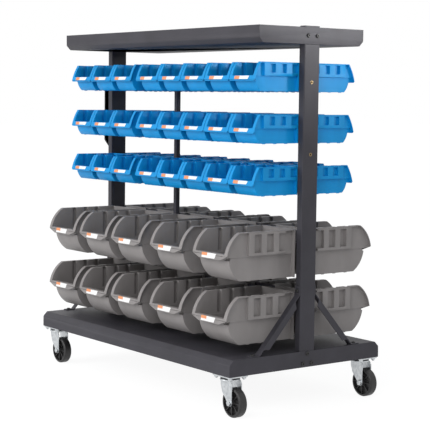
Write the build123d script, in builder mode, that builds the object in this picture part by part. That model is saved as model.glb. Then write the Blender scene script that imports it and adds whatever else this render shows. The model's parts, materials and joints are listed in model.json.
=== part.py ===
from build123d import *
import os

# Rolling bin rack: a double-sided steel frame on four swivel casters. Two end posts join a base
# platform to a top tray. Five rails between the posts carry hooked plastic bins, back to back.
# Frame: origin on the floor under the middle of the rack, X along its length, Z up.

# Folded base platform and top tray
LENGTH = 915
BASE_WIDTH = 500
TRAY_WIDTH = 344
SKIRT = 42
TRAY_WALL = 43
BEVEL = 12.5
BEND = 4
SHEET = 1.5
BASE_Z = 105
TRAY_Z = BASE_Z + 819.5
DECK_Z = BASE_Z + SKIRT

# End posts, rectangular tube standing inside the end walls of base and tray
POST_X = 20
POST_Y = 50
POST_WALL = 2
POST_TOP = BASE_Z + 866
POST_OUT = LENGTH / 2 - SHEET
POST_MID = POST_OUT - POST_X / 2
POST_IN = POST_OUT - POST_X
SLOT_GAP = 0.3

# Channels under the deck that carry the caster plates
CHANNEL_X = 75
CHANNEL_T = 2
CHANNEL_END = BASE_WIDTH / 2 - SHEET - 0.5
CHANNEL_CUT = 15

# Middle post, square tube against the inside of the rails' front flange
MIDDLE_SIDE = 14
MIDDLE_WALL = 1.5
MIDDLE_X = -109

# Bin rails, upright channels whose flanges the bins hook on to
RAIL_WIDTH = 44
RAIL_HEIGHT = 30
RAIL_T = 2
MIDDLE_Y = RAIL_T + MIDDLE_SIDE / 2 - RAIL_WIDTH / 2
RAIL_SCREW_Y = 12

# Bins: rows by the height of the bin's floor, places by the bin's middle
BIN_BACK = RAIL_WIDTH / 2 + 0.3
BLUE_ROWS = {"top": BASE_Z + 701.5, "middle": BASE_Z + 571, "bottom": BASE_Z + 440.5}
GREY_ROWS = {"upper": BASE_Z + 229.5, "lower": BASE_Z + 69.5}
BLUE_PITCH = 106
BLUE_PLACES = [-277.5 + BLUE_PITCH * i for i in (-1, 0, 1)]
BLUE_PLACES += [170.3 + BLUE_PITCH * i for i in (-2, -1, 0, 1, 2)]
GREY_PLACES = [-363.3, -193.6, -26.7, 164.8, 357.9]

# The two bin sizes, depths measured from the back and heights from the floor of the bin
BLUE_BIN = {
    "width": 104, "depth": 144.7, "height": 72.5, "flange": 8, "step_z": 37,
    "rim_start": 124.7, "rim_bulge": 2.4,
    "lip_low": 25.5, "lip_top": 38.5, "lip_cut": (4, 3),
    "toe": 117.2, "toe_bulge": 2.4, "knee": 131.8, "wall_top": 135.2,
    "bars": (112, 76.5, 41), "bar": 18.5, "bar_low": 38, "ledge": 4.5,
    "window_low": 46, "window_top": 67.5,
}
GREY_BIN = {
    "width": 144, "depth": 220.2, "height": 123, "flange": 10, "step_z": 60,
    "rim_start": 179.5, "rim_bulge": 10.3,
    "lip_low": 54, "lip_top": 70, "lip_cut": (30, 11),
    "toe": 167.7, "toe_bulge": 7.4, "knee": 204.3, "wall_top": 207.2,
    "bars": (149, 109.5, 70), "bar": 17.5, "bar_low": 63, "ledge": 31.5,
    "window_low": 70, "window_top": 116,
}
BIN_WALL = 2
RIM_T = 2.2
HOOK_OUT = 6
HOOK_DROP = 8
HOOK_INSET = 8
SIDE_STEP = 2.5
BAR_INSET = 0.8
FOOT = (9, 3, 1.2)

# Braces, strip with a stiffening flange along the slanted part
BRACE_WIDTH = 18
BRACE_T = 2.5
BRACE_HEEL = 186
BRACE_TOP = 211
BRACE_TOE = 154
BRACE_FOOT = 181
BRACE_FLANGE = 14
BRACE_BOLT_Z = BASE_Z + 198
BRACE_BOLT_Y = 170

# Push handle, bent flat bar on the left post
HANDLE_WIDTH = 36
HANDLE_T = 4
HANDLE_OUT = 34
HANDLE_TAB = 36
HANDLE_SLOPE = 26
RIVET_NUT_Z = (BASE_Z + 543.5, BASE_Z + 725)

# Fasteners, radius of thread, hole and head
M6 = 3
M6_HOLE = 3.2
M6_HEAD = 5.25
M5 = 2.45
M5_HOLE = 2.75
M5_HEAD = 4.6
NUT_BORE = 2.5
NUT_BODY = 3.5
NUT_FLANGE = 4.6
NUT_FLANGE_T = 0.8
TRAY_BOLT_Y = 15
TRAY_BOLT_Z = TRAY_Z + 21.5
BASE_BOLTS = [(0, BASE_Z + 35), (-15, BASE_Z + 10), (15, BASE_Z + 10)]

# Casters: swivel axis places, and heights above the floor
CASTER_X = 420
CASTER_Y = 219
WHEEL_R = 37.5
WHEEL_HALF = 11.5
HUB_R = 11
HUB_HALF = 13.7
RIM_R = 29.5
WEB_HALF = 4
SPOKES = 8
SHOULDER = 4.5
TRAIL = 20
AXLE_R = 4
RUN_GAP = 0.05
FORK_IN = 14
FORK_T = 2.5
FORK_EYE = 8
FORK_BACK = -18
CROWN_R = 25.5
CROWN_Z = 91.5
CROWN_T = 4
PLATE_X = 75
PLATE_Y = 62
PLATE_T = 3
RACE_R = 23
RACE_T = 5
PLATE_BOLT = (28, 22)
PIN_R = 5
PIN_HEAD = 8
PIN_HEAD_T = 4


def write(shape, name):
    """Label one finished piece and write it to its own file."""
    shape.label = name
    export_step(shape, f"parts/{name}.step")


def group(pieces, name):
    """Write several separate solids of one kind as one node."""
    write(Compound(children=pieces), name)


def tray_section(width, height):
    """Cross-section of a folded tray: floor at height 0, bottom edges bevelled."""
    with BuildSketch() as section:
        with BuildLine():
            Polyline(
                (-width / 2, height),
                (-width / 2, BEVEL),
                (BEVEL - width / 2, 0),
                (width / 2 - BEVEL, 0),
                (width / 2, BEVEL),
                (width / 2, height),
                close=True,
            )
        make_face()
        fillet(section.vertices().sort_by(Axis.Y)[:4], BEND)
    return section.sketch


def tray_shell(width, height):
    """Folded tray, open at the top: the outer block less the space one sheet inside it."""
    with BuildPart() as shell:
        with BuildSketch(Plane.YZ):
            add(tray_section(width, height))
        extrude(amount=LENGTH / 2, both=True)
        with BuildSketch(Plane.YZ):
            add(tray_section(width, height))
            offset(amount=-SHEET, mode=Mode.REPLACE)
            with Locations((0, height)):
                Rectangle(width - 2 * SHEET, height)
        extrude(amount=LENGTH / 2 - SHEET, both=True, mode=Mode.SUBTRACT)
    return shell.part


def storage_bin(width, depth, height, flange, step_z, rim_start, rim_bulge, lip_low, lip_top, lip_cut,
                toe, toe_bulge, knee, wall_top, bars, bar, bar_low, ledge, window_low, window_top):
    """Hooked bin: back plane at y 0, mouth towards -Y, floor at height 0."""
    upper = width / 2 - flange
    lower = upper - SIDE_STEP
    bar_out = width / 2 - BAR_INSET
    rim_mid = Vector((rim_start + depth) / 2, (height + lip_low) / 2)
    rim_dir = Vector(height - lip_low, depth - rim_start).normalized()
    rim_bend = rim_mid + rim_dir * rim_bulge
    toe_dir = Vector(lip_low, toe - knee).normalized()
    toe_bend = Vector((toe + knee) / 2, lip_low / 2) + toe_dir * toe_bulge
    share = (height - lip_top) / (height - lip_low)
    lip_in = rim_start + (depth - rim_start) * share + 4 * rim_bulge * share * (1 - share) - RIM_T / 2
    mouth = depth + flange

    def profile(inset):
        """Side outline of the body, drawn in by a wall where the cavity is cut."""
        base = [(-inset, height), (-inset, inset), (inset - toe, inset)]
        with BuildLine() as line:
            Polyline(*base)
            ThreePointArc(base[-1], (inset - toe_bend.X, toe_bend.Y), (inset - knee, lip_low))
            if inset:
                Polyline(
                    (inset - knee, lip_low),
                    (inset - wall_top, lip_top),
                    (-mouth, lip_top),
                    (-mouth, height + flange),
                    (-inset, height + flange),
                    base[0],
                )
            else:
                Polyline(
                    (-knee, lip_low),
                    (-wall_top, lip_top - RIM_T),
                    (-lip_in, lip_top - RIM_T),
                    (-lip_in, lip_top),
                )
                ThreePointArc((-lip_in, lip_top), (RIM_T - rim_bend.X, rim_bend.Y), (-rim_start, height))
                Line((-rim_start, height), base[0])
        return line.line

    with BuildPart() as body:
        # side walls, floor, back and front as one block, narrower below the step
        with BuildSketch(Plane.YZ):
            add(profile(0))
            make_face()
        extrude(amount=upper, both=True)
        for side in (-1, 1):
            with Locations((side * upper, -depth / 2, 0)):
                Box(2 * SIDE_STEP, 2 * depth, 2 * step_z, mode=Mode.SUBTRACT)
        # rim flange along the top and down the curved front, ending in the full-width lip
        with BuildSketch(Plane.YZ):
            with BuildLine():
                Line((0, height), (-rim_start, height))
                ThreePointArc((-rim_start, height), (-rim_bend.X, rim_bend.Y), (-depth, lip_low))
                offset(amount=RIM_T, side=Side.LEFT)
            make_face()
        extrude(amount=width / 2, both=True)
        with BuildSketch(Plane.XZ.offset(depth - 2 * flange)):
            for side in (-1, 1):
                with BuildLine():
                    Polyline(
                        (side * width, lip_low - 1),
                        (side * (width / 2 - lip_cut[0]), lip_low - 1),
                        (side * (width / 2 - lip_cut[0]), lip_low),
                        (side * width / 2, lip_low + lip_cut[1]),
                        (side * width, lip_low + lip_cut[1]),
                        close=True,
                    )
                make_face()
        extrude(amount=3 * flange, mode=Mode.SUBTRACT)
        # upright bars on the outside of each wall, standing on a ledge
        for side in (-1, 1):
            plane = Plane.YZ.offset(side * upper)
            with BuildSketch(plane):
                for front in bars:
                    with Locations((bar / 2 - front, (bar_low + height - RIM_T) / 2)):
                        Rectangle(bar, height - RIM_T - bar_low)
                for low, high in ((bar_low, window_low), (window_top, height - RIM_T)):
                    with Locations(((-ledge - bars[0]) / 2, (low + high) / 2)):
                        Rectangle(bars[0] - ledge, high - low)
            extrude(amount=side * (bar_out - upper))
            # small feet under the side walls
            for front in bars:
                with Locations((side * (lower - FOOT[1] / 2), bar / 2 - front, -FOOT[2] / 2)):
                    Box(FOOT[1], FOOT[0], FOOT[2])
        # hook over the rail
        with Locations((0, HOOK_OUT / 2, height - RIM_T / 2)):
            Box(2 * (upper - HOOK_INSET), HOOK_OUT, RIM_T)
        with Locations((0, HOOK_OUT - BIN_WALL / 2, height - (RIM_T + HOOK_DROP) / 2)):
            Box(2 * (upper - HOOK_INSET), BIN_WALL, RIM_T + HOOK_DROP)
        # cavity, wider above the step, and a divider slot inside each bar
        with BuildSketch(Plane.YZ):
            add(profile(BIN_WALL))
            make_face()
        extrude(amount=lower - BIN_WALL, both=True, mode=Mode.SUBTRACT)
        with BuildSketch(Plane.YZ):
            add(profile(BIN_WALL))
            make_face()
            with Locations((-mouth / 2, step_z + BIN_WALL + height)):
                Rectangle(2 * mouth, 2 * height, mode=Mode.INTERSECT)
        extrude(amount=upper - BIN_WALL, both=True, mode=Mode.SUBTRACT)
        slot_x = (upper + bar_out) / 2 - BIN_WALL
        slot_low = bar_low + BIN_WALL
        for front in bars:
            with Locations(*[(s * slot_x, bar / 2 - front, (slot_low + height + 1) / 2) for s in (-1, 1)]):
                Box(bar_out - upper, bar - 2 * BIN_WALL, height + 1 - slot_low, mode=Mode.SUBTRACT)
    return body.part


def screw(radius, head_r, head_t, length):
    """Round-headed socket screw, head above height 0 and shank below."""
    with BuildPart() as fastener:
        Cylinder(head_r, head_t, align=(Align.CENTER, Align.CENTER, Align.MIN))
        fillet(fastener.edges().sort_by(Axis.Z)[-1], head_t * 0.55)
        Cylinder(radius, length, align=(Align.CENTER, Align.CENTER, Align.MAX))
        with BuildSketch(Plane.XY.offset(head_t)):
            RegularPolygon(head_r * 0.42, 6)
        extrude(amount=-head_t * 0.6, mode=Mode.SUBTRACT)
    return fastener.part


def nut(bore, across, thick):
    """Hexagon nut on the Z axis, seat at height 0."""
    with BuildPart() as hexagon:
        with BuildSketch():
            RegularPolygon(across / 2, 6, major_radius=False)
            Circle(bore, mode=Mode.SUBTRACT)
        extrude(amount=thick)
    return hexagon.part


def facing(point, direction):
    """Place a part made along +Z at a point, turned to face a direction."""
    return Plane(origin=point, z_dir=direction).location


os.makedirs("parts", exist_ok=True)

# Base platform
with BuildPart() as base_platform:
    add(Pos(0, 0, DECK_Z) * Rot(180, 0, 0) * tray_shell(BASE_WIDTH, SKIRT))
    slot_x = POST_X + SLOT_GAP
    with Locations(*[(s * (POST_OUT - slot_x / 2), 0, DECK_Z) for s in (-1, 1)]):
        Box(slot_x, POST_Y + 2 * SLOT_GAP, SKIRT / 2, mode=Mode.SUBTRACT)
    with Locations(*[(0, y, z) for y, z in BASE_BOLTS]):
        Cylinder(M6_HOLE, 2 * LENGTH, rotation=(0, 90, 0), mode=Mode.SUBTRACT)
    with Locations((0, 0, DECK_Z)):
        with GridLocations(2 * POST_MID, 2 * BRACE_BOLT_Y, 2, 2):
            Cylinder(M6_HOLE, SKIRT / 2, mode=Mode.SUBTRACT)
write(base_platform.part, "base_platform")

# Top tray
with BuildPart() as top_tray:
    add(Pos(0, 0, TRAY_Z) * tray_shell(TRAY_WIDTH, TRAY_WALL))
    with Locations(*[(s * (POST_OUT - slot_x / 2), 0, TRAY_Z) for s in (-1, 1)]):
        Box(slot_x, POST_Y + 2 * SLOT_GAP, SKIRT / 2, mode=Mode.SUBTRACT)
    with Locations(*[(0, s * TRAY_BOLT_Y, TRAY_BOLT_Z) for s in (-1, 1)]):
        Cylinder(M6_HOLE, 2 * LENGTH, rotation=(0, 90, 0), mode=Mode.SUBTRACT)
write(top_tray.part, "top_tray")

# Bins, one of each size, copied to every place on the rails
blue_bin = storage_bin(**BLUE_BIN)
grey_bin = storage_bin(**GREY_BIN)
SIDES = {"front": Pos(0, -BIN_BACK, 0), "rear": Pos(0, BIN_BACK, 0) * Rot(0, 0, 180)}
for side, place in SIDES.items():
    for row, z in BLUE_ROWS.items():
        group([Pos(x, 0, z) * place * blue_bin for x in BLUE_PLACES], f"blue_bins_{side}_{row}")
    for row, z in GREY_ROWS.items():
        for number, x in enumerate(GREY_PLACES, 1):
            write(Pos(x, 0, z) * place * grey_bin, f"grey_bin_{side}_{row}_{number}")

# Rails, one under each row of hooks
rail_tops = {f"blue_rail_{row}": z + BLUE_BIN["height"] - RIM_T for row, z in BLUE_ROWS.items()}
rail_tops |= {f"grey_rail_{row}": z + GREY_BIN["height"] - RIM_T for row, z in GREY_ROWS.items()}
with BuildPart() as rail:
    with Locations((0, 0, -RAIL_HEIGHT / 2)):
        Box(2 * POST_IN, RAIL_WIDTH, RAIL_HEIGHT)
    with Locations((0, 0, RAIL_T)):
        Box(2 * (POST_IN - RAIL_T), RAIL_WIDTH - 2 * RAIL_T, 2 * RAIL_HEIGHT, mode=Mode.SUBTRACT)
    with Locations((MIDDLE_X, MIDDLE_Y + SLOT_GAP / 2, -RAIL_HEIGHT)):
        Box(MIDDLE_SIDE + 2 * SLOT_GAP, MIDDLE_SIDE + SLOT_GAP, RAIL_HEIGHT, mode=Mode.SUBTRACT)
    with Locations(*[(0, s * RAIL_SCREW_Y, -RAIL_HEIGHT / 2) for s in (-1, 1)]):
        Cylinder(M5_HOLE, 2 * LENGTH, rotation=(0, 90, 0), mode=Mode.SUBTRACT)
    with Locations((MIDDLE_X, -RAIL_WIDTH / 2, -RAIL_HEIGHT / 2)):
        Cylinder(M5_HOLE, RAIL_WIDTH / 2, rotation=(90, 0, 0), mode=Mode.SUBTRACT)
for name, top in rail_tops.items():
    write(Pos(0, 0, top) * rail.part, name)

# End posts
with BuildPart() as right_post:
    foot = BASE_Z + CHANNEL_T
    with Locations((POST_MID, 0, (foot + POST_TOP) / 2)):
        Box(POST_X, POST_Y, POST_TOP - foot)
        Box(POST_X - 2 * POST_WALL, POST_Y - 2 * POST_WALL, LENGTH, mode=Mode.SUBTRACT)
    outer = [(POST_OUT, y, z) for y, z in BASE_BOLTS]
    outer += [(POST_OUT, s * TRAY_BOLT_Y, TRAY_BOLT_Z) for s in (-1, 1)]
    with Locations(*outer):
        Cylinder(M6_HOLE, POST_X / 2, rotation=(0, 90, 0), mode=Mode.SUBTRACT)
    with Locations(*[(POST_OUT, 0, z) for z in RIVET_NUT_Z]):
        Cylinder(NUT_BODY + 0.1, POST_X / 2, rotation=(0, 90, 0), mode=Mode.SUBTRACT)
    inner = [(POST_IN, s * RAIL_SCREW_Y, z - RAIL_HEIGHT / 2) for z in rail_tops.values() for s in (-1, 1)]
    with Locations(*inner):
        Cylinder(M5_HOLE, POST_X / 2, rotation=(0, 90, 0), mode=Mode.SUBTRACT)
    with Locations((POST_MID, 0, BRACE_BOLT_Z)):
        Cylinder(M6_HOLE, 2 * POST_Y, rotation=(90, 0, 0), mode=Mode.SUBTRACT)
with BuildPart() as left_post:
    add(right_post.part)
    mirror(about=Plane.YZ, mode=Mode.REPLACE)
write(right_post.part, "right_post")
write(left_post.part, "left_post")

# Middle post, from the deck to the top rail
with BuildPart() as middle_post:
    top = max(rail_tops.values()) - 1
    with Locations((MIDDLE_X, MIDDLE_Y, (DECK_Z + top) / 2)):
        Box(MIDDLE_SIDE, MIDDLE_SIDE, top - DECK_Z)
        Box(MIDDLE_SIDE - 2 * MIDDLE_WALL, MIDDLE_SIDE - 2 * MIDDLE_WALL, LENGTH, mode=Mode.SUBTRACT)
    with Locations(*[(MIDDLE_X, -RAIL_WIDTH / 2, z - RAIL_HEIGHT / 2) for z in rail_tops.values()]):
        Cylinder(M5_HOLE, MIDDLE_SIDE, rotation=(90, 0, 0), mode=Mode.SUBTRACT)
write(middle_post.part, "middle_post")

# Caster channels, with the outer flange cut away where the post stands
with BuildPart() as caster_channel_right:
    with BuildSketch(Plane.YZ.offset(POST_OUT - CHANNEL_X)):
        with BuildLine():
            Polyline(
                (-CHANNEL_END, BASE_Z),
                (-CHANNEL_END, DECK_Z - SHEET - CHANNEL_CUT),
                (CHANNEL_CUT - CHANNEL_END, DECK_Z - SHEET),
                (CHANNEL_END - CHANNEL_CUT, DECK_Z - SHEET),
                (CHANNEL_END, DECK_Z - SHEET - CHANNEL_CUT),
                (CHANNEL_END, BASE_Z),
                close=True,
            )
        make_face()
    extrude(amount=CHANNEL_X)
    with Locations((POST_OUT - CHANNEL_X / 2, 0, BASE_Z + CHANNEL_T + SKIRT)):
        Box(CHANNEL_X - 2 * CHANNEL_T, 2 * BASE_WIDTH, 2 * SKIRT, mode=Mode.SUBTRACT)
    with Locations((POST_OUT, 0, BASE_Z + CHANNEL_T + SKIRT)):
        Box(POST_X, POST_Y + 2 * CHANNEL_T, 2 * SKIRT, mode=Mode.SUBTRACT)
    for side in (-1, 1):
        with Locations((CASTER_X, side * CASTER_Y, BASE_Z)):
            with GridLocations(2 * PLATE_BOLT[0], 2 * PLATE_BOLT[1], 2, 2):
                Cylinder(M6_HOLE, SKIRT / 2, mode=Mode.SUBTRACT)
with BuildPart() as caster_channel_left:
    add(caster_channel_right.part)
    mirror(about=Plane.YZ, mode=Mode.REPLACE)
write(caster_channel_right.part, "caster_channel_right")
write(caster_channel_left.part, "caster_channel_left")

# Braces, from the post's side to the deck
with BuildPart() as brace:
    with BuildSketch(Plane.YZ.offset(POST_MID - BRACE_WIDTH / 2)):
        with BuildLine():
            Polyline(
                (-POST_Y / 2, BASE_Z + BRACE_TOP),
                (-POST_Y / 2, BASE_Z + BRACE_HEEL),
                (-BRACE_TOE, DECK_Z),
                (-BRACE_FOOT, DECK_Z),
            )
            offset(amount=BRACE_T, side=Side.RIGHT)
        make_face()
    extrude(amount=BRACE_WIDTH)
    slope = Vector(BRACE_TOE - POST_Y / 2, BRACE_HEEL - SKIRT).normalized()
    reach = 1.5 * BRACE_FLANGE
    low = Vector(-BRACE_TOE, DECK_Z) + slope * reach
    high = Vector(-POST_Y / 2, BASE_Z + BRACE_HEEL) - slope * reach
    inward = Vector(slope.Y, -slope.X) * BRACE_FLANGE
    with BuildSketch(Plane.YZ.offset(POST_MID + BRACE_WIDTH / 2)):
        with BuildLine():
            Polyline(
                low,
                high,
                high + inward - slope * reach / 2,
                low + inward + slope * reach / 2,
                close=True,
            )
        make_face()
    extrude(amount=-BRACE_T)
    with Locations((POST_MID, -POST_Y / 2, BRACE_BOLT_Z)):
        Cylinder(M6_HOLE, POST_Y / 2, rotation=(90, 0, 0), mode=Mode.SUBTRACT)
    with Locations((POST_MID, -BRACE_BOLT_Y, DECK_Z)):
        Cylinder(M6_HOLE, SKIRT / 2, mode=Mode.SUBTRACT)
right_braces = [brace.part, brace.part.mirror(Plane.XZ)]
group(right_braces, "right_braces")
group([piece.mirror(Plane.YZ) for piece in right_braces], "left_braces")

# Push handle, feet turned inwards over the rivet nuts
with BuildPart() as push_handle:
    face = -POST_OUT - NUT_FLANGE_T
    with BuildSketch(Plane.XZ.offset(-HANDLE_WIDTH / 2)) as bar:
        with BuildLine():
            Polyline(
                (face, RIVET_NUT_Z[0] + HANDLE_TAB / 2),
                (face, RIVET_NUT_Z[0] - HANDLE_TAB / 2),
                (-POST_OUT - HANDLE_OUT, RIVET_NUT_Z[0] - HANDLE_TAB / 2 + HANDLE_SLOPE),
                (-POST_OUT - HANDLE_OUT, RIVET_NUT_Z[1] + HANDLE_TAB / 2 - HANDLE_SLOPE),
                (face, RIVET_NUT_Z[1] + HANDLE_TAB / 2),
                (face, RIVET_NUT_Z[1] - HANDLE_TAB / 2),
            )
            offset(amount=HANDLE_T, side=Side.RIGHT)
        make_face()
    extrude(amount=HANDLE_WIDTH)
    with Locations(*[(face, 0, z) for z in RIVET_NUT_Z]):
        Cylinder(M5_HOLE, 2 * HANDLE_T + 2, rotation=(0, 90, 0), mode=Mode.SUBTRACT)
write(push_handle.part, "push_handle")

# Rivet nuts in the outer face of both posts
with BuildPart() as rivet_nut:
    Cylinder(NUT_FLANGE, NUT_FLANGE_T, align=(Align.CENTER, Align.CENTER, Align.MIN))
    Cylinder(NUT_BODY, POST_X / 2, align=(Align.CENTER, Align.CENTER, Align.MAX))
    Cylinder(NUT_BORE, 2 * POST_X, mode=Mode.SUBTRACT)
nuts = [facing((s * POST_OUT, 0, z), (s, 0, 0)) * rivet_nut.part for s in (1, -1) for z in RIVET_NUT_Z]
group(nuts, "rivet_nuts")

# Bolts of the frame, and of the handle
frame_bolt = screw(M6, M6_HEAD, 3.2, 9)
bolts = []
for end in (-1, 1):
    wall = end * LENGTH / 2
    bolts += [facing((wall, y, z), (end, 0, 0)) * frame_bolt for y, z in BASE_BOLTS]
    bolts += [facing((wall, s * TRAY_BOLT_Y, TRAY_BOLT_Z), (end, 0, 0)) * frame_bolt for s in (-1, 1)]
    for side in (-1, 1):
        tab = side * (POST_Y / 2 + BRACE_T)
        bolts.append(facing((end * POST_MID, tab, BRACE_BOLT_Z), (0, side, 0)) * frame_bolt)
        bolts.append(Pos(end * POST_MID, side * BRACE_BOLT_Y, DECK_Z + BRACE_T) * frame_bolt)
small_screw = screw(M5, M5_HEAD, 2.6, 8)
foot_x = -POST_OUT - NUT_FLANGE_T - HANDLE_T
bolts += [facing((foot_x, 0, z), (-1, 0, 0)) * small_screw for z in RIVET_NUT_Z]
group(bolts, "frame_bolts")

# Screws of the rails, at both ends and at the middle post
screws = []
for top in rail_tops.values():
    z = top - RAIL_HEIGHT / 2
    for end in (-1, 1):
        face_x = end * (POST_IN - RAIL_T)
        screws += [facing((face_x, s * RAIL_SCREW_Y, z), (-end, 0, 0)) * small_screw for s in (-1, 1)]
    screws.append(facing((MIDDLE_X, -RAIL_WIDTH / 2, z), (0, -1, 0)) * small_screw)
group(screws, "rail_screws")

# Caster pieces, made on the swivel axis at the floor
with BuildPart() as plate:
    with BuildSketch(Plane.XY.offset(BASE_Z - PLATE_T)):
        RectangleRounded(PLATE_X, PLATE_Y, 8)
        with GridLocations(2 * PLATE_BOLT[0], 2 * PLATE_BOLT[1], 2, 2):
            Circle(M6_HOLE, mode=Mode.SUBTRACT)
    extrude(amount=PLATE_T)
    with Locations((0, 0, BASE_Z - PLATE_T)):
        Cylinder(RACE_R, RACE_T, align=(Align.CENTER, Align.CENTER, Align.MAX))
    chamfer(plate.edges().filter_by(GeomType.CIRCLE).sort_by(Axis.Z)[0], 1.5)
    Cylinder(PIN_R + RUN_GAP, 3 * BASE_Z, mode=Mode.SUBTRACT)

with BuildPart() as kingpin:
    with Locations((0, 0, BASE_Z)):
        Cylinder(PIN_R, BASE_Z - CROWN_Z + PIN_HEAD_T, align=(Align.CENTER, Align.CENTER, Align.MAX))
    with Locations((0, 0, CROWN_Z - SLOT_GAP)):
        Cylinder(PIN_HEAD, PIN_HEAD_T, align=(Align.CENTER, Align.CENTER, Align.MAX))
    fillet(kingpin.edges().sort_by(Axis.Z)[0], 2)

with BuildPart() as fork:
    for side in (-1, 1):
        with BuildSketch(Plane.XZ.offset(side * (FORK_IN + FORK_T / 2))):
            with BuildLine():
                eye = (TRAIL - 0.95 * FORK_EYE, WHEEL_R - 0.3 * FORK_EYE)
                Polyline((FORK_BACK, CROWN_Z + 1), (FORK_BACK + 1, 79), (FORK_BACK + 7, 62), eye)
                ThreePointArc(eye, (TRAIL, WHEEL_R - FORK_EYE), (TRAIL + FORK_EYE, WHEEL_R))
                Polyline(
                    (TRAIL + FORK_EYE, WHEEL_R),
                    (TRAIL + FORK_EYE, CROWN_Z - 8),
                    (TRAIL + 2, CROWN_Z + 1),
                    (FORK_BACK, CROWN_Z + 1),
                )
            make_face()
        extrude(amount=FORK_T / 2, both=True)
    with Locations((0, 0, CROWN_Z)):
        Cylinder(CROWN_R, CROWN_T, align=(Align.CENTER, Align.CENTER, Align.MIN))
    fillet(fork.edges().filter_by(GeomType.CIRCLE).sort_by(Axis.Z)[-1], 2)
    Cylinder(PIN_R + RUN_GAP, 3 * BASE_Z, mode=Mode.SUBTRACT)
    with Locations((TRAIL, 0, WHEEL_R)):
        Cylinder(AXLE_R + RUN_GAP, 4 * FORK_IN, rotation=(90, 0, 0), mode=Mode.SUBTRACT)

with BuildPart() as wheel:
    with BuildSketch() as half:
        with BuildLine():
            Polyline(
                (AXLE_R + RUN_GAP, -HUB_HALF),
                (HUB_R - 2, -HUB_HALF),
                (HUB_R, -WEB_HALF),
                (RIM_R, -WEB_HALF),
                (RIM_R + 1.5, -WHEEL_HALF),
                (WHEEL_R - SHOULDER, -WHEEL_HALF),
            )
            JernArc((WHEEL_R - SHOULDER, -WHEEL_HALF), (1, 0), SHOULDER, 90)
            Polyline(
                (WHEEL_R, SHOULDER - WHEEL_HALF),
                (WHEEL_R, 0),
                (AXLE_R + RUN_GAP, 0),
                (AXLE_R + RUN_GAP, -HUB_HALF),
            )
        make_face()
    revolve(axis=Axis.Y)
    mirror(about=Plane.XZ)
    with BuildSketch(Plane.XZ):
        with PolarLocations((HUB_R + RIM_R) / 2, SPOKES):
            Rectangle(RIM_R - HUB_R + 3, 2.4)
    extrude(amount=WHEEL_HALF - 2, both=True)

with BuildPart() as axle_bolt:
    reach = FORK_IN + FORK_T
    with BuildSketch(Plane.XZ.offset(reach)):
        RegularPolygon(6.5, 6, major_radius=False)
    extrude(amount=5)
    Cylinder(AXLE_R, 2 * reach + 14, rotation=(90, 0, 0), align=(Align.CENTER, Align.CENTER, Align.CENTER))
    with Locations((0, -reach - 5 - SKIRT, 0)):
        Box(SKIRT, 2 * SKIRT, SKIRT, mode=Mode.SUBTRACT)
axle_nut = facing((0, FORK_IN + FORK_T, 0), (0, 1, 0)) * nut(AXLE_R + RUN_GAP, 13, 6)

CASTERS = {
    "front_left": (-CASTER_X, -CASTER_Y),
    "front_right": (CASTER_X, -CASTER_Y),
    "rear_left": (-CASTER_X, CASTER_Y),
    "rear_right": (CASTER_X, CASTER_Y),
}
plate_nut = nut(M6 + 0.1, 10, 5)
plate_screw = screw(M6, M6_HEAD, 3.2, 13)
plates = []
pins = []
plate_fasteners = []
for name, (x, y) in CASTERS.items():
    plates.append(Pos(x, y, 0) * plate.part)
    pins.append(Pos(x, y, 0) * kingpin.part)
    for spot in GridLocations(2 * PLATE_BOLT[0], 2 * PLATE_BOLT[1], 2, 2):
        hole = Pos(x, y, 0) * spot
        plate_fasteners.append(hole * Pos(0, 0, BASE_Z + CHANNEL_T) * plate_screw)
        plate_fasteners.append(hole * Pos(0, 0, BASE_Z - PLATE_T - 5) * plate_nut)
    write(Pos(x, y, 0) * fork.part, f"caster_fork_{name}")
    write(Pos(x + TRAIL, y, WHEEL_R) * wheel.part, f"caster_wheel_{name}")
    axle = Pos(x + TRAIL, y, WHEEL_R)
    group([axle * axle_bolt.part, axle * axle_nut], f"caster_axle_{name}")
group(plates, "caster_plates")
group(pins, "caster_kingpins")
group(plate_fasteners, "caster_bolts")
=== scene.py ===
"""Looks of the rolling bin rack: rounded sheet metal and bins, finishes, label cards, light and camera."""
import json
import math

import bmesh
import bpy
from mathutils import Matrix, Vector
from mathutils.bvhtree import BVHTree


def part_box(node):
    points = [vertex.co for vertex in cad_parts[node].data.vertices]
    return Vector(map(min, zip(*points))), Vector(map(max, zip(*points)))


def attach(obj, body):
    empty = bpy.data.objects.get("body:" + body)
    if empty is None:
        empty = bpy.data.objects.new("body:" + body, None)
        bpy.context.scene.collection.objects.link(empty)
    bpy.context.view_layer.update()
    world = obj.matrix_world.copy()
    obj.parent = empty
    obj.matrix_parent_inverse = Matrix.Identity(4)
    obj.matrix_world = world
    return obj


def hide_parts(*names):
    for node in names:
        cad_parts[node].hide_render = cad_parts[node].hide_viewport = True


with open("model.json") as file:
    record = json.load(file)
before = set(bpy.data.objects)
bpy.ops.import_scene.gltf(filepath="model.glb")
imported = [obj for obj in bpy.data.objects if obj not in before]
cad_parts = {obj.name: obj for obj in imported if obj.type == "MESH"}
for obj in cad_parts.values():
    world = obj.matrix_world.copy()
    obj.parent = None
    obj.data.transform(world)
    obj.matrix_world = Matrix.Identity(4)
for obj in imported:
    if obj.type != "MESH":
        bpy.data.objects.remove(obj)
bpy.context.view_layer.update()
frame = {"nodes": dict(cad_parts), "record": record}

MM = 0.001
BODIES = frame["record"]["behaviour"]["bodies"]
BODY_OF = {node: body for body, members in BODIES.items() for node in members}
SLOT_OF = {entry["node"]: entry["material_slot"] for entry in frame["record"]["subparts"]}
BOX_OF = {node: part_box(node) for node in frame["nodes"]}

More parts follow.
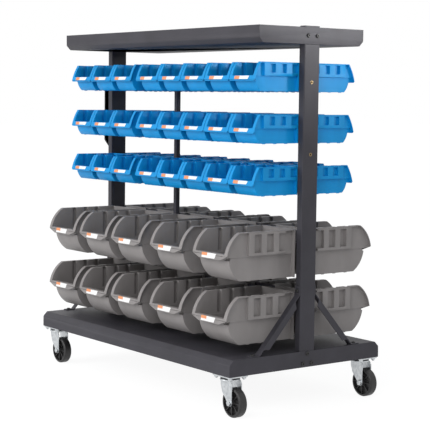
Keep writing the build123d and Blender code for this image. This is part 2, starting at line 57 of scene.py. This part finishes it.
# Camera, found from the photograph's vanishing lines: metres and degrees
CAMERA_PLACE = (3.0299, -2.2322, 0.7870)
CAMERA_TURN = 53.092
CAMERA_DIP = 4.952
CAMERA_ROLL = 0.683
CAMERA_LENS = 112.65
CAMERA_SENSOR = 36.0

# Rounding of edges, by kind of piece
SHEET_EDGE = 0.5 * MM
PLASTIC_EDGE = 0.45 * MM
CAST_EDGE = 0.4 * MM
FASTENER_EDGE = 0.2 * MM
SHARP_ANGLE = math.radians(35)
SMOOTH_ANGLE = math.radians(30)
FLAT_ANGLE = math.radians(0.6)
BEND_ANGLE = SHARP_ANGLE / 3
BEND_STEPS = 4
EDGE_STEPS = 2

# Corners closer than this are one, and lengths closer than this agree
SAME_PLACE = 0.002 * MM
SAME_LENGTH = 0.02 * MM

# Larger bends: corners of the post tube, ends of the folded trays, bends of the handle bar
TUBE_BEND = 2.6 * MM
END_BEND = 1.3 * MM
HANDLE_BEND = (3.2 * MM, 1.6 * MM)
TRAY_RIM = 3 * MM

# Bins: places along the rack, and the height of the lip's top edge above the bin's feet
BLUE_LIP = 39.7 * MM
GREY_LIP = 71.2 * MM
BLUE_PLACES = [-277.5 * MM + 106 * MM * i for i in (-1, 0, 1)]
BLUE_PLACES += [170.3 * MM + 106 * MM * i for i in (-2, -1, 0, 1, 2)]

# Bins: half width of the body below the step, start of the curved toe, height of the lip's lower edge,
# the lip's end (half width, cut across, cut up), and the rounding of toe and lip
BIN_BACK = 22.3 * MM
BLUE_FORM = (41.5 * MM, 117.2 * MM, 25.5 * MM, (52 * MM, 4 * MM, 3 * MM), 3 * MM, 1.5 * MM)
GREY_FORM = (59.5 * MM, 167.7 * MM, 54 * MM, (72 * MM, 30 * MM, 11 * MM), 6 * MM, 6 * MM)
FOOT_DROP = 1.2 * MM

# Bins: upright flange at the back (half width, top), and the gusset that closes each end of the lip
# (outer face, then its outline as depth and height), all in millimetres
BLUE_TRIM = (51.7, 71.4, 40.9, ((129.8, 25.7), (132.6, 36.2), (140.0, 36.2), (143.4, 25.7)))
GREY_TRIM = (71.7, 121.9, 61.8, ((203, 60.3), (203.5, 67.6), (217, 67.6), (218.6, 61.5)))
FLANGE_DEPTH = (0.3, 3)
FLANGE_FOOT = 0.6
GUSSET_T = 1.1

# White floor: half its length, its grey, the share of its own shading, and the white over the rest
FLOOR_HALF = 30
FLOOR_GREY = 0.9
FLOOR_SHADOW = 0.2
FLOOR_WHITE = 1.14

# Light: strength and tint of the surround, and the lamps as place, target, size, power and spread
WORLD_STRENGTH = 0.56
WORLD_TINT = (0.97, 0.985, 1)
KEY_LAMP = ((-1.1, -3.9, 1.9), (0, 0, 0.5), 2.0, 76, 180)
FILL_LAMP = ((2.3, -2.8, 2.1), (0, 0, 0.5), 1.6, 36, 180)
SIDE_LAMP = ((2.24, 1.68, 1.2), (0.46, 0.05, 1.33), 0.35, 3.2, 27)

# Colours: the middle tone of a finish, or its darkest and lightest
COAT_COLOUR = (0.044, 0.042, 0.051)
BLUE_COLOUR = (0.003, 0.287, 0.67)
GREY_COLOUR = (0.266, 0.249, 0.245)
CARD_COLOUR = (0.88, 0.88, 0.87)
ORANGE_COLOUR = (0.84, 0.32, 0.14)
ZINC_COLOURS = ((0.44, 0.46, 0.48), (0.66, 0.68, 0.69))
OXIDE_COLOURS = ((0.012, 0.012, 0.013), (0.035, 0.034, 0.034))
BRASS_COLOURS = ((0.2, 0.14, 0.07), (0.36, 0.27, 0.15))
RUBBER_COLOURS = ((0.008, 0.008, 0.009), (0.022, 0.021, 0.021))

# Label cards: left end from the bin's middle, width, height, slant of the right end, gap below the
# lip's top, and the printed block's width and share of the height
BLUE_CARD = (-30.2 * MM, 58 * MM, 8.6 * MM, 4 * MM, 1.0 * MM, 19.6 * MM, 1.0)
GREY_CARD = (-31.7 * MM, 59 * MM, 13 * MM, 5 * MM, 1.0 * MM, 22.7 * MM, 0.58)
CARD_THICK = 0.3 * MM
CARD_LIFT = 0.28 * MM
CARD_CORNER = 0.9 * MM
CARD_STEPS = 3

# Dust seals round the casters' swivel races
CASTER_X = 420 * MM
CASTER_Y = 219 * MM
SEAL_INNER = 22.9 * MM
SEAL_OUTER = 24.6 * MM
SEAL_LOW = 97.2 * MM
SEAL_HIGH = 101.8 * MM
SEAL_CHAMFER = (0.5 * MM, 0.8 * MM)
SEAL_STEPS = 48


# Shader building

def blank_material(name):
    """New node material; returns the material, its nodes, a link call and its surface shader."""
    material = bpy.data.materials.new(name)
    material.use_nodes = True
    tree = material.node_tree
    return material, tree.nodes, tree.links.new, tree.nodes["Principled BSDF"]


def noise(nodes, link, scale, detail=3.0, stretch=(1, 1, 1), roughness=0.5):
    """Noise over the piece's own coordinates, in cycles per metre."""
    place = nodes.new("ShaderNodeTexCoord")
    turn = nodes.new("ShaderNodeMapping")
    turn.inputs["Scale"].default_value = stretch
    link(place.outputs["Object"], turn.inputs["Vector"])
    texture = nodes.new("ShaderNodeTexNoise")
    texture.inputs["Scale"].default_value = scale
    texture.inputs["Detail"].default_value = detail
    texture.inputs["Roughness"].default_value = roughness
    link(turn.outputs["Vector"], texture.inputs["Vector"])
    return texture.outputs["Fac"]


def between(nodes, link, fac, low, high, start=0.3, end=0.7):
    """Colour ramp from low to high over the middle of a noise."""
    ramp = nodes.new("ShaderNodeValToRGB")
    ramp.color_ramp.elements[0].position = start
    ramp.color_ramp.elements[0].color = (*low, 1)
    ramp.color_ramp.elements[1].position = end
    ramp.color_ramp.elements[1].color = (*high, 1)
    link(fac, ramp.inputs["Fac"])
    return ramp.outputs["Color"]


def level(nodes, link, fac, low, high):
    """Number from low to high over the middle of a noise."""
    span = nodes.new("ShaderNodeMapRange")
    span.inputs["From Min"].default_value = 0.3
    span.inputs["From Max"].default_value = 0.7
    span.inputs["To Min"].default_value = low
    span.inputs["To Max"].default_value = high
    link(fac, span.inputs["Value"])
    return span.outputs["Result"]


def relief(nodes, link, shader, height, depth, under=None):
    """Bump of a given depth in metres, over another bump where one is given."""
    bump = nodes.new("ShaderNodeBump")
    bump.inputs["Strength"].default_value = 1.0
    bump.inputs["Distance"].default_value = depth
    link(height, bump.inputs["Height"])
    if under:
        link(under, bump.inputs["Normal"])
    link(bump.outputs["Normal"], shader.inputs["Normal"])
    return bump.outputs["Normal"]


def tone(colour, share):
    """A colour made lighter or darker."""
    return tuple(min(1.0, c * share) for c in colour)


def powder_coat():
    """Charcoal powder coat: orange-peel texture with a soft mottle."""
    material, nodes, link, shader = blank_material("charcoal_powder_coat")
    mottle = noise(nodes, link, 14, 4)
    shades = tone(COAT_COLOUR, 0.88), tone(COAT_COLOUR, 1.12)
    link(between(nodes, link, mottle, *shades), shader.inputs["Base Color"])
    peel = noise(nodes, link, 900, 2)
    link(level(nodes, link, peel, 0.46, 0.58), shader.inputs["Roughness"])
    relief(nodes, link, shader, peel, 0.05 * MM)
    shader.inputs["Specular IOR Level"].default_value = 0.28
    return material


def moulded_plastic(name, colour, rough):
    """Injection-moulded plastic: fine spark-eroded grain, faint flow marks, satin sheen."""
    material, nodes, link, shader = blank_material(name)
    flow = noise(nodes, link, 26, 3, stretch=(1, 1, 0.3))
    shades = tone(colour, 0.93), tone(colour, 1.06)
    link(between(nodes, link, flow, *shades), shader.inputs["Base Color"])
    grain = noise(nodes, link, 1800, 2)
    link(level(nodes, link, grain, rough - 0.05, rough + 0.06), shader.inputs["Roughness"])
    swell = relief(nodes, link, shader, flow, 0.12 * MM)
    relief(nodes, link, shader, grain, 0.02 * MM, swell)
    shader.inputs["Specular IOR Level"].default_value = 0.22
    return material


def zinc_plate():
    """Bright zinc plate on pressed steel: cloudy spangle and fine drawing lines."""
    material, nodes, link, shader = blank_material("zinc_plate")
    cloud = noise(nodes, link, 110, 4)
    link(between(nodes, link, cloud, *ZINC_COLOURS), shader.inputs["Base Color"])
    lines = noise(nodes, link, 420, 2, stretch=(1, 1, 0.08))
    link(level(nodes, link, lines, 0.26, 0.42), shader.inputs["Roughness"])
    relief(nodes, link, shader, lines, 0.015 * MM)
    shader.inputs["Metallic"].default_value = 0.9
    return material


def black_oxide():
    """Blackened steel of the frame bolts, worn a little in the socket."""
    material, nodes, link, shader = blank_material("black_oxide")
    wear = noise(nodes, link, 300, 4)
    link(between(nodes, link, wear, *OXIDE_COLOURS), shader.inputs["Base Color"])
    link(level(nodes, link, wear, 0.42, 0.58), shader.inputs["Roughness"])
    relief(nodes, link, shader, wear, 0.01 * MM)
    shader.inputs["Metallic"].default_value = 0.25
    return material


def plain_brass():
    """Turned brass of the rivet nuts, slightly dulled."""
    material, nodes, link, shader = blank_material("dull_brass")
    dull = noise(nodes, link, 500, 3)
    link(between(nodes, link, dull, *BRASS_COLOURS), shader.inputs["Base Color"])
    link(level(nodes, link, dull, 0.4, 0.55), shader.inputs["Roughness"])
    relief(nodes, link, shader, dull, 0.01 * MM)
    shader.inputs["Metallic"].default_value = 1.0
    return material


def wheel_rubber():
    """Hard black wheel: fine scuffs and a low sheen."""
    material, nodes, link, shader = blank_material("hard_black_wheel")
    scuff = noise(nodes, link, 160, 5)
    link(between(nodes, link, scuff, *RUBBER_COLOURS), shader.inputs["Base Color"])
    link(level(nodes, link, scuff, 0.36, 0.55), shader.inputs["Roughness"])
    relief(nodes, link, shader, scuff, 0.06 * MM)
    return material


def label_paper(name, colour, share):
    """Printed card stock: faint fibres under a thin coat."""
    material, nodes, link, shader = blank_material(name)
    fibre = noise(nodes, link, 700, 4, stretch=(0.3, 1, 1))
    link(between(nodes, link, fibre, tone(colour, share), colour), shader.inputs["Base Color"])
    link(level(nodes, link, fibre, 0.42, 0.55), shader.inputs["Roughness"])
    relief(nodes, link, shader, fibre, 0.01 * MM)
    return material


COAT = powder_coat()
BLUE = moulded_plastic("azure_plastic", BLUE_COLOUR, 0.44)
GREY = moulded_plastic("grey_plastic", GREY_COLOUR, 0.46)
ZINC = zinc_plate()
OXIDE = black_oxide()
BRASS = plain_brass()
RUBBER = wheel_rubber()
CARD = label_paper("white_card", CARD_COLOUR, 0.94)
ORANGE = label_paper("orange_print", ORANGE_COLOUR, 0.9)
FINISH = {"frame_paint": COAT, "blue_plastic": BLUE, "grey_plastic": GREY, "zinc": ZINC,
          "black_steel": OXIDE, "brass": BRASS, "wheel_black": RUBBER}
EDGE = {"frame_paint": SHEET_EDGE, "blue_plastic": PLASTIC_EDGE, "grey_plastic": PLASTIC_EDGE,
        "zinc": CAST_EDGE, "black_steel": FASTENER_EDGE, "brass": FASTENER_EDGE, "wheel_black": CAST_EDGE}


# Pieces

def piece_from(shape, name, materials):
    """Turn a finished bmesh into an object at the origin."""
    mesh = bpy.data.meshes.new(name)
    shape.to_mesh(mesh)
    shape.free()
    piece = bpy.data.objects.new(name, mesh)
    bpy.context.scene.collection.objects.link(piece)
    for material in materials:
        mesh.materials.append(material)
    return piece


def smooth_between_edges(mesh):
    """Smooth shading that stays sharp at steep edges."""
    mesh.polygons.foreach_set("use_smooth", [True] * len(mesh.polygons))
    mesh.set_sharp_from_angle(angle=SMOOTH_ANGLE)


def near(value, target):
    """Whether two lengths agree."""
    return abs(value - target) < SAME_LENGTH


def tube_corners(node, edge):
    """Bend of a post tube, along its four long corners."""
    low, high = BOX_OF[node]
    ends = [corner.co for corner in edge.verts]
    on_x = all(near(c.x, low.x) or near(c.x, high.x) for c in ends)
    on_y = all(near(c.y, low.y) or near(c.y, high.y) for c in ends)
    return TUBE_BEND if on_x and on_y and abs(ends[0].z - ends[1].z) > TRAY_RIM else 0


def tray_ends(node, edge):
    """Bend between the end wall of a folded tray and its floor, bevels and sides."""
    low, high = BOX_OF[node]
    ends = [corner.co for corner in edge.verts]
    rim = high.z if node == "top_tray" else low.z
    flat = low.z if node == "top_tray" else high.z
    on_end = all(near(abs(c.x), high.x) for c in ends)
    outline = all(abs(c.y) > high.y / 2 or near(c.z, flat) for c in ends)
    return END_BEND if on_end and outline and not any(near(c.z, rim) for c in ends) else 0


def handle_bends(node, edge):
    """Bends of the flat bar, wider on the outside."""
    low, high = BOX_OF[node]
    ends = [corner.co for corner in edge.verts]
    across = near(abs(ends[0].y - ends[1].y), high.y - low.y)
    flat = all(near(c.x, high.x) for c in ends)
    return HANDLE_BEND[int(flat)] if across else 0


def bin_bends(node, edge):
    """Soft corners of a bin: the curved toe against the sides, and the ends of the lip."""
    blue = node.startswith("blue")
    half, toe, lip_low, (lip_half, cut_x, cut_z), toe_bend, lip_bend = BLUE_FORM if blue else GREY_FORM
    low, high = BOX_OF[node]
    ends = [corner.co for corner in edge.verts]
    middle = (low.x + high.x) / 2
    if blue:
        middle = min(BLUE_PLACES, key=lambda x: abs(x - ends[0].x))
    across = [abs(c.x - middle) for c in ends]
    depth = [abs(c.y) - BIN_BACK for c in ends]
    height = [c.z - low.z - FOOT_DROP for c in ends]
    if all(near(x, half) for x in across) and min(depth) > toe - MM:
        return toe_bend
    for x, z in ((lip_half - cut_x, lip_low), (lip_half, lip_low + cut_z)):
        if all(near(a, x) for a in across) and all(near(h, z) for h in height):
            return lip_bend
    return 0


def bend_of(node):
    """The rule that gives a node's larger bends, where it has any."""
    if node.endswith("_post"):
        return tube_corners
    if node in ("base_platform", "top_tray"):
        return tray_ends
    if node == "push_handle":
        return handle_bends
    if "_bin" in node:
        return bin_bends
    return None


def cut_bends(node, shape):
    """Round the edges that are real bends, those of one width together."""
    bend = bend_of(node)
    if not bend:
        return
    widths = {}
    for edge in shape.edges:
        if edge.is_manifold and edge.calc_face_angle() > BEND_ANGLE:
            width = bend(node, edge)
            if width:
                widths.setdefault(width, []).append(edge)
    for width, edges in widths.items():
        bmesh.ops.bevel(shape, geom=edges, offset=width, segments=BEND_STEPS, profile=0.5, affect="EDGES",
                        clamp_overlap=True, material=-1)


def rounded_copy(node):
    """Copy of a CAD node with its triangles joined into faces and its edges rounded."""
    shape = bmesh.new()
    shape.from_mesh(frame["nodes"][node].data)
    bmesh.ops.remove_doubles(shape, verts=shape.verts, dist=SAME_PLACE)
    bmesh.ops.dissolve_limit(shape, angle_limit=FLAT_ANGLE, verts=shape.verts, edges=shape.edges)
    cut_bends(node, shape)
    for face in shape.faces:
        face.material_index = 0
    slot = SLOT_OF[node]
    piece = piece_from(shape, f"{node}_rounded", [FINISH[slot]])
    smooth_between_edges(piece.data)
    bevel = piece.modifiers.new("rounded_edges", "BEVEL")
    bevel.width = EDGE[slot]
    bevel.segments = EDGE_STEPS
    bevel.limit_method = "ANGLE"
    bevel.angle_limit = SHARP_ANGLE
    bevel.use_clamp_overlap = bend_of(node) is tube_corners
    bevel.harden_normals = True
    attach(piece, BODY_OF[node])
    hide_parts(node)
    return piece


def card_shape(card):
    """Flat card with a slanted right end, its printed block split off, on the plane of the lip."""
    left, width, height, slant, _, block, share = card
    shape = bmesh.new()
    bmesh.ops.create_grid(shape, x_segments=1, y_segments=1, size=0.5)
    bmesh.ops.scale(shape, vec=(width, height, 1), verts=shape.verts)
    bmesh.ops.translate(shape, vec=(left + width / 2, -height / 2, 0), verts=shape.verts)
    for corner in shape.verts:
        if corner.co.x > 0 and corner.co.y < -height / 2:
            corner.co.x -= slant
    bmesh.ops.bevel(shape, geom=shape.verts, offset=CARD_CORNER, segments=CARD_STEPS, profile=0.5,
                    affect="VERTICES", material=-1)
    everything = shape.verts[:] + shape.edges[:] + shape.faces[:]
    bmesh.ops.bisect_plane(shape, geom=everything, plane_co=(left + block, 0, 0), plane_no=(1, 0, 0))
    if share < 1:
        printed = [face for face in shape.faces if face.calc_center_median().x < left + block]
        geometry = printed + [e for f in printed for e in f.edges] + [v for f in printed for v in f.verts]
        bmesh.ops.bisect_plane(shape, geom=list(set(geometry)), plane_co=(0, -height * share, 0),
                               plane_no=(0, 1, 0))
    for face in shape.faces:
        middle = face.calc_center_median()
        face.material_index = int(middle.x < left + block and middle.y > -height * share)
    bmesh.ops.solidify(shape, geom=shape.faces[:], thickness=-CARD_THICK)
    bmesh.ops.recalc_face_normals(shape, faces=shape.faces)
    bmesh.ops.translate(shape, vec=(0, 0, CARD_LIFT), verts=shape.verts)
    mesh = bpy.data.meshes.new("card")
    shape.to_mesh(mesh)
    shape.free()
    return mesh


def lip_place(tree, x, side, top, height):
    """Place on the bin's lip where a card's top edge goes, tilted as the lip is."""
    reach = Vector((x, side, 0))
    rays = [(reach + Vector((0, 0, z)), Vector((0, -side, 0))) for z in (top, top - height)]
    upper, lower = (tree.ray_cast(*ray)[0] for ray in rays)
    across = Vector((-side, 0, 0))
    rise = (upper - lower).normalized()
    turned = Matrix((across, rise, across.cross(rise))).transposed().to_4x4()
    return Matrix.Translation(upper) @ turned


def label_cards(node, lip, card, places):
    """One card on the lip of each bin in a node."""
    flat = card_shape(card)
    tree = BVHTree.FromPolygons([v.co for v in frame["nodes"][node].data.vertices],
                                [p.vertices for p in frame["nodes"][node].data.polygons])
    low, high = BOX_OF[node]
    side = math.copysign(1, low.y + high.y)
    shape = bmesh.new()
    for x in places:
        done = len(shape.verts)
        shape.from_mesh(flat)
        place = lip_place(tree, x, side, low.z + lip - card[4], card[2])
        bmesh.ops.transform(shape, matrix=place, verts=shape.verts[done:])
    piece = piece_from(shape, f"{node}_labels", [CARD, ORANGE])
    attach(piece, BODY_OF[node])


def bin_trim(node, trim, places):
    """Upright flange at the back of each bin in a node, and the gussets at the ends of its lip."""
    half, top, outer, gusset = trim
    low, high = BOX_OF[node]
    side = math.copysign(1, low.y + high.y)
    floor = low.z + FOOT_DROP
    shape = bmesh.new()

    def slab(x, thick, points):
        """Plate across X from points given as depth and height."""
        outline = [(side * (BIN_BACK + d * MM), floor + z * MM) for d, z in points]
        face = shape.faces.new([shape.verts.new((x - thick / 2, y, z)) for y, z in outline])
        moved = bmesh.ops.extrude_face_region(shape, geom=[face])["geom"]
        corners = [v for v in moved if isinstance(v, bmesh.types.BMVert)]
        bmesh.ops.translate(shape, vec=(thick, 0, 0), verts=corners)

    back, front = FLANGE_DEPTH
    for x in places:
        slab(x, 2 * half * MM, ((back, FLANGE_FOOT), (front, FLANGE_FOOT), (front, top), (back, top)))
        for hand in (-1, 1):
            slab(x + hand * (outer - GUSSET_T / 2) * MM, GUSSET_T * MM, gusset)
    bmesh.ops.recalc_face_normals(shape, faces=shape.faces)
    slot = SLOT_OF[node]
    piece = piece_from(shape, f"{node}_flange", [FINISH[slot]])
    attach(piece, BODY_OF[node])


def swivel_seals():
    """Dark dust seal round each caster's swivel race."""
    across, up = SEAL_CHAMFER
    section = ((SEAL_INNER, SEAL_LOW), (SEAL_OUTER - across, SEAL_LOW), (SEAL_OUTER, SEAL_LOW + up),
               (SEAL_OUTER, SEAL_HIGH - up), (SEAL_OUTER - across, SEAL_HIGH), (SEAL_INNER, SEAL_HIGH))
    shape = bmesh.new()
    for name in frame["nodes"]:
        if not name.startswith("caster_fork"):
            continue
        axle_low, axle_high = BOX_OF[name.replace("fork", "axle")]
        middle = (axle_low + axle_high) / 2
        axis = Vector((math.copysign(CASTER_X, middle.x), math.copysign(CASTER_Y, middle.y), 0))
        ring = [shape.verts.new(axis + Vector((r, 0, z))) for r, z in section]
        loop = [shape.edges.new((a, b)) for a, b in zip(ring, ring[1:] + ring[:1])]
        bmesh.ops.spin(shape, geom=ring + loop, cent=axis, axis=(0, 0, 1), angle=math.tau, steps=SEAL_STEPS,
                       use_merge=True)
    bmesh.ops.recalc_face_normals(shape, faces=shape.faces)
    piece = piece_from(shape, "swivel_seals", [RUBBER])
    smooth_between_edges(piece.data)
    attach(piece, "rack")


for node in frame["nodes"]:
    rounded_copy(node)
    if node.startswith("blue_bins"):
        label_cards(node, BLUE_LIP, BLUE_CARD, BLUE_PLACES)
        bin_trim(node, BLUE_TRIM, BLUE_PLACES)
    if node.startswith("grey_bin"):
        low, high = BOX_OF[node]
        label_cards(node, GREY_LIP, GREY_CARD, [(low.x + high.x) / 2])
        bin_trim(node, GREY_TRIM, [(low.x + high.x) / 2])
swivel_seals()


# Floor, light and camera

def seen_rays(nodes, link):
    """One where the camera, a reflection or a see-through surface looks, nought for light alone."""
    rays = nodes.new("ShaderNodeLightPath")
    total = rays.outputs["Is Camera Ray"]
    for kind in ("Is Glossy Ray", "Is Transmission Ray"):
        either = nodes.new("ShaderNodeMath")
        either.operation = "MAXIMUM"
        link(total, either.inputs[0])
        link(rays.outputs[kind], either.inputs[1])
        total = either.outputs["Value"]
    return total


def plain_floor():
    """White studio floor that keeps a trace of the rack's shadow."""
    shape = bmesh.new()
    bmesh.ops.create_grid(shape, x_segments=1, y_segments=1, size=FLOOR_HALF)
    material, nodes, link, shader = blank_material("studio_floor")
    shader.inputs["Base Color"].default_value = (FLOOR_GREY, FLOOR_GREY, FLOOR_GREY, 1)
    shader.inputs["Roughness"].default_value = 0.9
    shader.inputs["Specular IOR Level"].default_value = 0.0
    white = nodes.new("ShaderNodeEmission")
    white.inputs["Strength"].default_value = FLOOR_WHITE
    look = nodes.new("ShaderNodeMixShader")
    look.inputs["Fac"].default_value = FLOOR_SHADOW
    link(white.outputs["Emission"], look.inputs[1])
    link(shader.outputs["BSDF"], look.inputs[2])
    seen = nodes.new("ShaderNodeMixShader")
    link(seen_rays(nodes, link), seen.inputs["Fac"])
    link(shader.outputs["BSDF"], seen.inputs[1])
    link(look.outputs["Shader"], seen.inputs[2])
    link(seen.outputs["Shader"], nodes["Material Output"].inputs["Surface"])
    piece_from(shape, "studio_floor", [material])


def softbox(name, place, target, size, power, spread):
    """Square area lamp that faces a point, its beam narrowed to a spread in degrees."""
    lamp = bpy.data.lights.new(name, "AREA")
    lamp.shape = "SQUARE"
    lamp.size = size
    lamp.energy = power
    lamp.spread = math.radians(spread)
    light = bpy.data.objects.new(name, lamp)
    light.location = place
    light.rotation_euler = (Vector(target) - Vector(place)).to_track_quat("-Z", "Y").to_euler()
    bpy.context.scene.collection.objects.link(light)


def studio_world():
    """Even white surround: full white where the camera or a reflection sees it, softer as light."""
    world = bpy.data.worlds.new("studio")
    bpy.context.scene.world = world
    world.use_nodes = True
    nodes, link = world.node_tree.nodes, world.node_tree.links.new
    fill = nodes["Background"]
    fill.inputs["Color"].default_value = (*WORLD_TINT, 1)
    fill.inputs["Strength"].default_value = WORLD_STRENGTH
    white = nodes.new("ShaderNodeBackground")
    white.inputs["Color"].default_value = (1, 1, 1, 1)
    white.inputs["Strength"].default_value = 1.0
    mix = nodes.new("ShaderNodeMixShader")
    link(seen_rays(nodes, link), mix.inputs["Fac"])
    link(fill.outputs["Background"], mix.inputs[1])
    link(white.outputs["Background"], mix.inputs[2])
    link(mix.outputs["Shader"], nodes["World Output"].inputs["Surface"])


def photo_camera():
    """Camera at the photograph's place, turned, dipped and rolled as it was."""
    turn, dip, roll = (math.radians(v) for v in (CAMERA_TURN, CAMERA_DIP, CAMERA_ROLL))
    back = Vector((math.sin(turn) * math.cos(dip), -math.cos(turn) * math.cos(dip), math.sin(dip)))
    right = Vector((math.cos(turn), math.sin(turn), 0))
    up = back.cross(right)
    rolled_right = right * math.cos(roll) + up * math.sin(roll)
    rolled_up = up * math.cos(roll) - right * math.sin(roll)
    lens = bpy.data.cameras.new("photo_camera")
    lens.lens = CAMERA_LENS
    lens.sensor_width = CAMERA_SENSOR
    camera = bpy.data.objects.new("photo_camera", lens)
    turned = Matrix((rolled_right, rolled_up, back)).transposed().to_4x4()
    camera.matrix_world = Matrix.Translation(CAMERA_PLACE) @ turned
    bpy.context.scene.collection.objects.link(camera)
    bpy.context.scene.camera = camera


plain_floor()
studio_world()
softbox("key_softbox", *KEY_LAMP)
softbox("fill_softbox", *FILL_LAMP)
softbox("side_softbox", *SIDE_LAMP)
photo_camera()
bpy.context.scene.view_settings.view_transform = "Standard"
